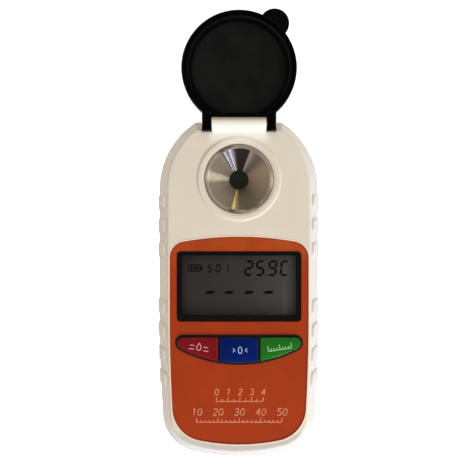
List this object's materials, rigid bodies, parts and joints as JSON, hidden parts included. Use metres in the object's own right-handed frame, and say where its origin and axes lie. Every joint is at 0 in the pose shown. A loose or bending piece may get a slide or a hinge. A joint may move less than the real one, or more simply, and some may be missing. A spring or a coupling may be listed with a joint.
{
  "type": "clinical refractometer",
  "caption": "Pocket digital refractometer with a round sample dish, a folding lid, a display, coloured press keys and a sliding battery door.",
  "frame": {"origin": "centre of the flat back face that the instrument rests on", "axes": "+X across the case, +Y along it towards the lid hinge, +Z out of the keyed face"},
  "size_m": [0.058, 0.1584, 0.0244],
  "materials": {
    "cream_plastic": "fine matt cream moulding",
    "black_rubber": "soft matt",
    "steel": "bright zinc finish",
    "orange_label": "satin printed film",
    "clear_window": "polished clear acrylic",
    "lcd_glass": "polished glass under a polariser",
    "lcd_film": "satin grey film",
    "black_plastic": "fine matt",
    "contact_rubber": "soft matt",
    "red_plastic": "gloss",
    "blue_plastic": "gloss",
    "green_plastic": "gloss",
    "white_plastic": "satin",
    "dish_steel": "polished, turned",
    "optical_glass": "polished",
    "lamp_epoxy": "clear amber epoxy",
    "green_laminate": "satin solder mask",
    "chip_body": "fine matt",
    "ribbon_film": "satin film",
    "sensor_resin": "satin resin",
    "capacitor_can": "satin",
    "battery_jacket": "gloss sleeve over steel",
    "contact_steel": "bright nickel plate",
    "grey_foam": "open foam",
    "lid_plastic": "satin black moulding"
  },
  "bodies": {
    "case": {"front_shell": "cream_plastic", "back_shell": "cream_plastic", "case_seal": "black_rubber", "case_screws": "steel", "board_screws": "steel", "chamber_screws": "steel", "front_label": "orange_label", "window_lens": "clear_window", "lcd_glass": "lcd_glass", "lcd_reflector": "lcd_film", "lcd_frame": "black_plastic", "upper_contact_strip": "contact_rubber", "lower_contact_strip": "contact_rubber", "key_frame": "black_plastic", "read_switch": "black_plastic", "zero_switch": "black_plastic", "scale_switch": "black_plastic", "sample_dish": "dish_steel", "dish_gasket": "black_rubber", "prism": "optical_glass", "optics_chamber": "black_plastic", "chamber_cover": "black_plastic", "led_lamp": "lamp_epoxy", "led_board": "green_laminate", "light_lens": "optical_glass", "image_sensor": "chip_body", "sensor_board": "green_laminate", "sensor_ribbon": "ribbon_film", "led_ribbon": "ribbon_film", "sensor_socket": "white_plastic", "led_socket": "white_plastic", "temperature_sensor": "sensor_resin", "main_board": "green_laminate", "controller_chip": "chip_body", "clock_crystal": "steel", "capacitors": "capacitor_can", "battery": "battery_jacket", "battery_spring": "contact_steel", "battery_plate": "contact_steel", "hinge_pin": "steel"},
    "lid": {"lid": "lid_plastic"},
    "read_button": {"read_key": "red_plastic", "read_plunger": "white_plastic"},
    "zero_button": {"zero_key": "blue_plastic", "zero_plunger": "white_plastic"},
    "scale_button": {"scale_key": "green_plastic", "scale_plunger": "white_plastic"},
    "door": {"battery_door": "cream_plastic", "door_foam": "grey_foam"}
  },
  "joints": [
    {"name": "lid_hinge", "type": "hinge", "parent": "case", "child": "lid", "pos_m": [0, 0.0575, 0.022], "axis": [1, 0, 0], "range_deg": [0, 180]},
    {"name": "read_press", "type": "slide", "parent": "case", "child": "read_button", "axis": [0, 0, -1], "range_m": [0, 0.0004], "stiffness_N_per_m": 300, "springref_m": -0.001},
    {"name": "zero_press", "type": "slide", "parent": "case", "child": "zero_button", "axis": [0, 0, -1], "range_m": [0, 0.0004], "stiffness_N_per_m": 300, "springref_m": -0.001},
    {"name": "scale_press", "type": "slide", "parent": "case", "child": "scale_button", "axis": [0, 0, -1], "range_m": [0, 0.0004], "stiffness_N_per_m": 300, "springref_m": -0.001},
    {"name": "door_slide", "type": "slide", "parent": "case", "child": "door", "axis": [0, -1, 0], "range_m": [0, 0.052]}
  ]
}
